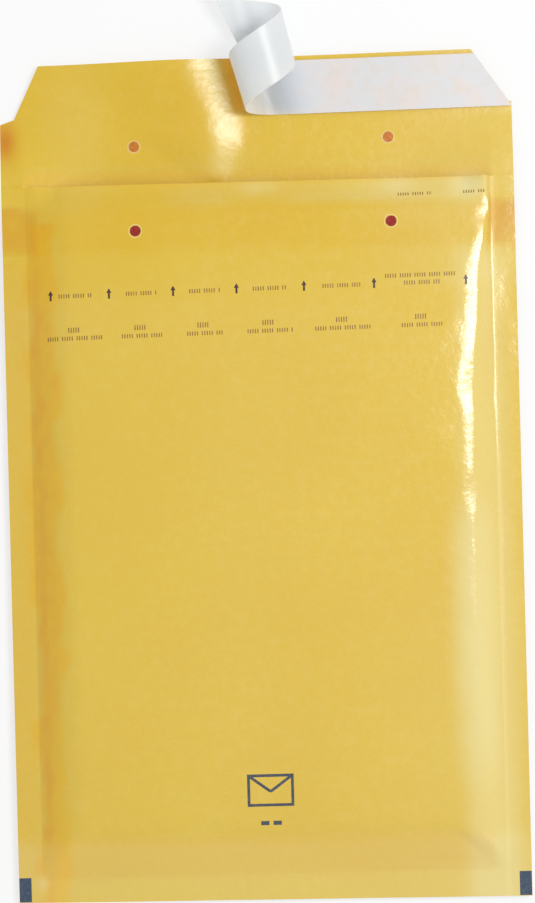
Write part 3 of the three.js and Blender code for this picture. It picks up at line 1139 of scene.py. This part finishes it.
def tint_kraft(piece):
    """Paints where glue shows through, where the paper is richer, and its painted shade, painted sheen
    and painted light.
    """
    x, y, _ = places(piece)
    slope = left_slope(x, y)
    mouth = within(y, MOUTH_SHEEN_PAINT_Y) * (1 + noise(x, y, MOUTH_MOTTLE))
    flap = rise(x, *FLAP_RICHNESS_X) * (y > MOUTH_Y)
    bottom = within(y, BOTTOM_PAINTED_LIGHT_Y) * (np.abs(x) < SEAM_X - BOTTOM_PAINTED_LIGHT_INSET)
    fold = within(y, MOUTH_PAINTED_LIGHT_Y) * (np.abs(x) < SEAM_X)
    # Painted light on the left slope, over the bottom facet and on the flap by the fold
    painted_light = SLOPE_PAINTED_LIGHT * slope + BOTTOM_PAINTED_LIGHT * bottom + MOUTH_PAINTED_LIGHT * fold
    # Painted shade: deeper on the left slope and the left half; the flap's right half is deeper too
    rich_tone_and_shade = SLOPE_SHADE_RICHNESS * slope + FLAP_RICHNESS * flap
    # Warmth: glue showing through, and painted shade on the left slope
    paint(piece, "warmth", glue_and_shade_warmth(x, y) + painted(x, y, WARM_PATCHES))
    # Painted sheen: paler where the lamp's gloss falls, and along the flap's glare
    paint(piece, "painted_sheen", MOUTH_SHEEN_PAINT * mouth + painted(x, y, SHEEN_PAINT_PATCHES, SHEEN_PAINT_ZONES, GLARE_STROKES))
    paint(piece, "rich_tone_and_shade", rich_tone_and_shade + painted(x, y, RICH_PATCHES, RICH_AND_SHADE_ZONES))
    paint(piece, "painted_light", painted_light + painted(x, y, strokes=CURL_BOUNCE_STROKES))


def tint_discs(piece):
    """Paints which faces take the dark red or the orange brown painted shade of the discs, and which are
    dull.
    """
    x, y, z = places(piece)
    flap = y > MOUTH_Y
    flap_top = z > back_height(x, y) + PAPER / 2
    front_top = z > front_height(x, y) - PAPER / 2
    # The dark red painted shade goes on the front's outer face and the flap's underside, the orange brown
    # painted shade on the flap's upper face
    paint(piece, "printed", np.where(flap, ~flap_top, front_top))
    paint(piece, "flap_disc_shade", flap & flap_top)
    dull_seam = painted(x, y, DULL_PATCHES, DULL_ZONES) * front_top
    paint(piece, "dullness", np.maximum(FLAP_DULLNESS * (flap & flap_top), dull_seam))


def kraft_sheet():
    """The sheet of kraft paper, with its punched discs and its tints."""
    made = kraft_shell().build("kraft_sheet", kraft_material())
    punch(made, FOLD_Y + DISC_TO_FOLD, UNDER_ALL, OVER_ALL)
    punch(made, FOLD_Y - DISC_TO_FOLD, POUCH / 2, OVER_ALL)
    tint_kraft(made)
    tint_discs(made)
    return smooth(made)


def film_walls(shell):
    """The two walls of film, which run together at their rims."""
    edge = SEAM_X - LINING_INSET
    flat = SEAM_X - SLOPE_WIDTH
    columns = grid_lines([-edge, -flat, flat, edge], FILM_COLUMN_STEPS)
    stops = [SEAM_Y + LINING_INSET, SEAM_Y + SLOPE_WIDTH, LINING_TOP_Y]
    rows = grid_lines(stops, FILM_ROW_STEPS)
    x, y = np.meshgrid(columns, rows)
    skin = PAPER + REST_GAP
    front = shell.add(x, y, front_height(x, y) - skin)
    back = shell.add(x, y, back_height(x, y) + skin)
    front_in, back_in = inner_walls(shell, x[1:, 1:-1], y[1:, 1:-1], skin + FILM_SKIN)
    shell.skin_walls(front, back, front_in, back_in)
    shell.wall(front[0], back[0])
    shell.wall(front[:, -1], back[:, -1])
    shell.wall(front[::-1, 0], back[::-1, 0])
    top_front, top_back, top_in = (face[-1][::-1] for face in (front, back, front_in))
    shell.wall(top_front[1:-1], top_in)
    shell.wall(back_in[-1][::-1], top_back[1:-1])
    for end, near in ((0, 1), (-1, -2)):
        face = [top_back[end], top_back[near], top_in[end], top_front[near], top_front[end]]
        shell.faces.append(face if end == 0 else face[::-1])


def bubble_places():
    """The centres of the bubbles, in staggered rows."""
    centres = []
    row_step = BUBBLE_PITCH * math.sqrt(3) / 2
    first_y = SEAM_Y + LINING_INSET + BUBBLE_RADIUS + BUBBLE_MARGIN
    row_count = int((LINING_TOP_Y - first_y - BUBBLE_RADIUS) / row_step) + 1
    half = SEAM_X - LINING_INSET - BUBBLE_RADIUS - BUBBLE_MARGIN
    for row in range(row_count):
        stagger = BUBBLE_PITCH / 2 * (row % 2)
        for x in np.arange(-half + stagger, half + TINY, BUBBLE_PITCH):
            centres.append((x, first_y + row * row_step))
    return centres


def add_bubble(shell, centre, base, height, side):
    """One bubble on a wall of film, on its upper or its lower side."""
    turn = np.linspace(0, 2 * math.pi, BUBBLE_SIDES, endpoint=False)
    rings = []
    for ring in range(BUBBLE_RINGS + 1):
        climbed = ring / (BUBBLE_RINGS + 1) * math.pi / 2
        radius = BUBBLE_RADIUS * math.cos(climbed) ** BUBBLE_FULLNESS
        x = centre[0] + radius * np.cos(turn)
        y = centre[1] + radius * np.sin(turn)
        rings.append(shell.add(x, y, base(x, y) + side * height * math.sin(climbed) ** BUBBLE_STEEPNESS))
    tip = shell.add(centre[0], centre[1], base(*centre) + side * height)
    sides = [(i, (i + 1) % BUBBLE_SIDES) for i in range(BUBBLE_SIDES)]
    faces = [[low[i], low[k], high[k], high[i]] for low, high in zip(rings, rings[1:]) for i, k in sides]
    faces.extend([rings[-1][i], rings[-1][k], tip] for i, k in sides)
    faces.append(rings[0][::-1])
    shell.faces.extend(face if side > 0 else face[::-1] for face in faces)


def bubble_pouch():
    """The bubble film: two walls with their bubbles towards the pocket."""
    shell = Shell()
    film_walls(shell)
    skin = PAPER + REST_GAP + FILM_SKIN

    def front_wall(x, y):
        return front_height(x, y) - skin

    def back_wall(x, y):
        return back_height(x, y) + skin

    for x, y in bubble_places():
        room = float(front_wall(x, y) - back_wall(x, y))
        height = min(FILM - FILM_SKIN, room / 2 - BUBBLE_GAP)
        if height >= LEAST_BUBBLE:
            add_bubble(shell, (x, y), back_wall, height, 1)
            add_bubble(shell, (x, y), front_wall, height, -1)
    return smooth(shell.build("bubble_pouch", film_material()), SHARP_FILM)


def onto_flap(x, y, z):
    """Points of the flap's own frame, which is turned up at the mouth."""
    sine, cosine = math.sin(FLAP_ANGLE), math.cos(FLAP_ANGLE)
    return x, MOUTH_Y + y * cosine - z * sine, y * sine + z * cosine


def chamfer_x(side, depth):
    """Where a flap's chamfer is, a given distance in from the free edge."""
    shoulder = LEFT_SHOULDER if side < 0 else RIGHT_SHOULDER
    widening = (CHAMFER_WIDTH - shoulder) / CHAMFER_LENGTH
    return side * (HALF_WIDTH - CHAMFER_WIDTH + widening * depth)


def close_sheet(shell, upper, lower):
    """A closed sheet from the points of its upper and lower faces, rows by columns."""
    shell.skin(upper, upward=True)
    shell.skin(lower, upward=False)
    shell.wall(upper[0], lower[0])
    shell.wall(upper[-1][::-1], lower[-1][::-1])
    shell.wall(upper[:, -1], lower[:, -1])
    shell.wall(upper[::-1, 0], lower[::-1, 0])


def adhesive_film():
    """The clear adhesive across the flap, which thins out to its edges."""
    near = LINER_MARGIN + (LINER_WIDTH - ADHESIVE_WIDTH) / 2
    rows = MELT_ROWS[:, None]
    columns = MELT_COLUMNS[None, :]
    depth = near + ADHESIVE_WIDTH * (1 - rows)
    left = chamfer_x(-1, depth)
    right = chamfer_x(1, depth)
    x = left + (right - left) * columns
    y = FLAP_LENGTH + CUT_SKEW * x - depth
    from_sides = np.minimum(rows, 1 - rows) / ROW_EDGE
    from_ends = np.minimum(columns, 1 - columns) / COLUMN_EDGE
    thickness = MELT_EDGE + (MELT - MELT_EDGE) * smooth_step(np.minimum(from_sides, from_ends))
    shell = Shell()
    faces = []
    for offset in (PAPER + thickness, np.full(x.shape, PAPER - MELT_SINK)):
        px, py, pz = onto_flap(x, y, offset)
        faces.append(shell.add(px, py, pz + flap_relief(px, py)))
    close_sheet(shell, *faces)
    made = smooth(shell.build("adhesive_film", adhesive_material()))
    tint_kraft(made)
    paint(made, "dullness", np.full(len(made.data.vertices), FLAP_DULLNESS))
    return made


def roll_up(x, y, offset):
    """Where points of the flat liner end up: stuck down, or on the cone past the peel line."""
    along = np.array([-math.sin(PEEL_LEAN), math.cos(PEEL_LEAN), 0])
    left = np.array([-along[1], along[0], 0])
    up = np.array([0, 0, 1])
    start = np.array([PEEL_X, FLAP_LENGTH + CUT_SKEW * PEEL_X - LINER_REACH, 0])
    sine, cosine = math.sin(CURL_HALF_ANGLE), math.cos(CURL_HALF_ANGLE)
    apex = start - along * CURL_RADIUS / sine
    flat = np.stack([x, y, np.zeros_like(x)], axis=-1)
    away = flat - apex
    slant = np.linalg.norm(away, axis=-1)
    turn = (np.arctan2(away @ left, away @ along) / sine)[..., None]
    outward = (along * sine - up * cosine) * np.cos(turn) + left * np.sin(turn)
    along_axis = (slant * cosine + offset * sine)[..., None]
    from_axis = (slant * sine - offset * cosine)[..., None]
    rolled = apex + (along * cosine + up * sine) * along_axis + outward * from_axis
    return np.where(turn > 0, rolled, flat + up * offset)


def liner_sheet():
    """The release liner: stuck down on the right, peeled and rolled up on the left."""
    share = np.linspace(0, 1, LINER_ROWS)[:, None]
    depth = LINER_REACH - LINER_WIDTH * share
    peel = PEEL_X - LINER_WIDTH * share * math.tan(PEEL_LEAN)
    free_end = PEEL_X - PEELED_LENGTH - FREE_END_SLANT * (share - 0.5)
    curled = free_end + (peel - free_end) * np.linspace(0, 1, CURL_COLUMNS, endpoint=False)
    stuck = peel + (chamfer_x(1, depth) - peel) * np.linspace(0, 1, STUCK_COLUMNS)
    x = np.hstack([curled, stuck])
    y = FLAP_LENGTH + CUT_SKEW * x - depth
    base = PAPER + ADHESIVE + 2 * REST_GAP
    shell = Shell()
    faces = []
    for offset in (LINER, 0):
        rolled = roll_up(x, y, offset)
        px, py, pz = onto_flap(rolled[..., 0], rolled[..., 1], rolled[..., 2] + base)
        faces.append(shell.add(px, py, pz + flap_waves(x, MOUTH_Y + y)))
    close_sheet(shell, *faces)
    made = smooth(shell.build("liner_sheet", liner_material()))
    # Painted light: the loose colour fades out over this length past the peel, lifting the shade beside
    # the curl
    past_peel = rise(x - peel, 0, STUCK_AFTER).ravel()
    paint(made, "stuck", np.concatenate([past_peel, past_peel]))
    return made


def ink_faces(shell, x, y):
    """The points of a mark's upper and lower faces, just over and under the front panel's face."""
    height = front_height(x, y)
    return shell.add(x, y, height + INK_LIFT), shell.add(x, y, height - INK_SINK)


def add_mark(shell, corners):
    """A flat printed shape on the front panel, as a thin closed plate from its corner points."""
    x, y = np.array(corners, float).T
    upper, lower = ink_faces(shell, x, y)
    shell.faces.append(upper)
    shell.faces.append(lower[::-1])
    shell.wall(np.append(upper, upper[0]), np.append(lower, lower[0]))


def add_bar(shell, left, right, low, high):
    """A printed bar, as one thin closed plate that follows the paper."""
    columns = grid_lines([left, right], [INK_STEP])
    rows = grid_lines([low, high], [INK_STEP])
    close_sheet(shell, *ink_faces(shell, *np.meshgrid(columns, rows)))


def add_arrow(shell, x, y):
    """A small arrow that points to the mouth, given by the middle of its foot."""
    add_bar(shell, x - STEM_WIDTH / 2, x + STEM_WIDTH / 2, y, y + STEM_LENGTH)
    barb_y = y + HEAD_START
    add_mark(shell, [(x - ARROW_WIDTH / 2, barb_y), (x + ARROW_WIDTH / 2, barb_y), (x, y + ARROW_LENGTH)])


def add_words(shell, left, right, y, height=TICK_HEIGHT):
    """Upright ticks in groups, where a line of words is, leaning as all the print does."""
    for i, x in enumerate(np.arange(left, right, TICK_PITCH)):
        if i % WORD_TICKS < WORD_TICKS - 1:
            middle = y + CUT_SKEW * x
            add_bar(shell, x, x + TICK_WIDTH, middle - height / 2, middle + height / 2)


def add_stroke(shell, start, end, width):
    """A printed line between two points."""
    run = np.subtract(end, start)
    aside = np.array([-run[1], run[0]]) / math.hypot(*run) * width / 2
    add_mark(shell, [start - aside, end - aside, end + aside, start + aside])


def arrow_print():
    """The small arrows under the mouth."""
    shell = Shell()
    for x in ARROWS_X:
        add_arrow(shell, x, ARROWS_Y + CUT_SKEW * x)
    return shell.build("arrow_print", ink_material("dark_ink", *ARROW_INK))


def word_print():
    """Plain ticks where the lines of print are."""
    shell = Shell()
    for left, right in UPPER_LINES:
        add_words(shell, left, right, UPPER_LINE_Y)
    add_words(shell, *SECOND_LINE, SECOND_LINE_Y)
    for left, right in LOWER_LINES:
        short = (left + right - SHORT_LINE_LENGTH) / 2
        add_words(shell, short, short + SHORT_LINE_LENGTH, SHORT_LINE_Y, SHORT_LINE_HEIGHT)
        add_words(shell, left, right, LOWER_LINE_Y)
    for left, right in STAMP_LINES:
        add_words(shell, left, right, STAMP_Y, STAMP_HEIGHT)
    return shell.build("word_print", ink_material("brown_ink", *WORD_INK))


def sign_print():
    """A plain drawing of a letter, with two bars under it."""
    shell = Shell()
    left, right = SIGN_X - SIGN_WIDTH / 2, SIGN_X + SIGN_WIDTH / 2
    low, high = SIGN_Y - SIGN_HEIGHT / 2, SIGN_Y + SIGN_HEIGHT / 2
    half = SIGN_LINE / 2
    for y in (low, high):
        add_bar(shell, left, right, y - half, y + half)
    for x in (left, right):
        add_bar(shell, x - half, x + half, low - half, high + half)
    fold = np.array([SIGN_X, SIGN_Y - SIGN_FOLD_DROP])
    add_stroke(shell, np.array([left, high]), fold, SIGN_LINE)
    add_stroke(shell, fold, np.array([right, high]), SIGN_LINE)
    low, high = SIGN_BARS_Y
    for start, end in SIGN_BARS_X:
        add_bar(shell, SIGN_X + start, SIGN_X + end, SIGN_Y + low, SIGN_Y + high)
    return shell.build("sign_print", ink_material("grey_ink", *SIGN_INK))


def corner_print():
    """The dark marks on the bottom corners."""
    shell = Shell()
    for side in (-1, 1):
        left, right = sorted(side * x for x in CORNER_MARK_X)
        bottom = BOTTOM_Y - side * BOTTOM_SKEW / 2 + CORNER_MARK_START
        add_bar(shell, left, right, bottom, bottom + CORNER_MARK_HEIGHT)
    return shell.build("corner_print", ink_material("slate_ink", *CORNER_INK))


def camera():
    """The photograph's view: straight down, turned a little."""
    data = bpy.data.cameras.new("camera")
    data.lens = CAMERA_LENS
    data.sensor_width = SENSOR
    data.clip_end = CAMERA_REACH * MM
    made = add_object("camera", data)
    made.location = [side * MM for side in CAMERA_PLACE]
    made.rotation_euler = (0, 0, CAMERA_TURN)
    bpy.context.scene.camera = made


def lamp():
    """A soft rectangular lamp to the right, over the envelope."""
    data = bpy.data.lights.new("key", "AREA")
    data.shape = "RECTANGLE"
    data.size, data.size_y = (side * MM for side in LAMP_SIZE)
    data.energy = LAMP_POWER
    made = add_object("key", data)
    made.location = [side * MM for side in LAMP_PLACE]
    aim = Vector([(end - start) * MM for start, end in zip(LAMP_PLACE, LAMP_AIM)])
    made.rotation_euler = aim.to_track_quat("-Z", "Y").to_euler()


def floor():
    """The pale floor, which the camera and mirrors see paler than it is lit."""
    material, tree, shader = new_material("floor")
    set_inputs(tree, shader, {"Base Color": FLOOR_COLOUR, "Roughness": FLOOR_ROUGHNESS})
    seen = add_node(tree, "LightPath").outputs
    directly = maths(tree, "MAXIMUM", seen["Is Camera Ray"], seen["Is Glossy Ray"])
    directly = maths(tree, "MAXIMUM", directly, seen["Is Transmission Ray"])
    paling = maths(tree, "MULTIPLY", directly, FLOOR_PALING)
    white = add_node(tree, "Emission", {"Color": WHITE, "Strength": 1}).outputs[0]
    mixed = add_node(tree, "MixShader", {0: paling, 1: shader.outputs[0], 2: white})
    tree.links.new(mixed.outputs[0], tree.nodes["Material Output"].inputs["Surface"])
    corners = [(-1, -1), (1, -1), (1, 1), (-1, 1)]
    points = [(x * FLOOR_HALF, y * FLOOR_HALF, FLOOR_Z) for x, y in corners]
    mesh_object("floor", points, [[0, 1, 2, 3]], material)


def studio():
    """The floor, the lamp and an even white surround."""
    floor()
    world = bpy.data.worlds.new("surround")
    world.use_nodes = True
    tree = world.node_tree
    set_inputs(tree, tree.nodes["Background"], {"Color": WHITE, "Strength": SURROUND})
    bpy.context.scene.world = world
    lamp()
    bpy.context.scene.view_settings.view_transform = "Standard"


def dress(piece, node=None):
    """Makes a piece ride with the envelope, and stand for a node of the model."""
    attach(piece, "root")
    if node:
        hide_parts(node)


def main():
    camera()
    studio()
    dress(kraft_sheet(), "kraft_envelope")
    dress(bubble_pouch(), "bubble_lining")
    dress(adhesive_film(), "adhesive_strip")
    dress(liner_sheet(), "release_liner")
    for make_print in (arrow_print, word_print, sign_print, corner_print):
        dress(make_print())


main()
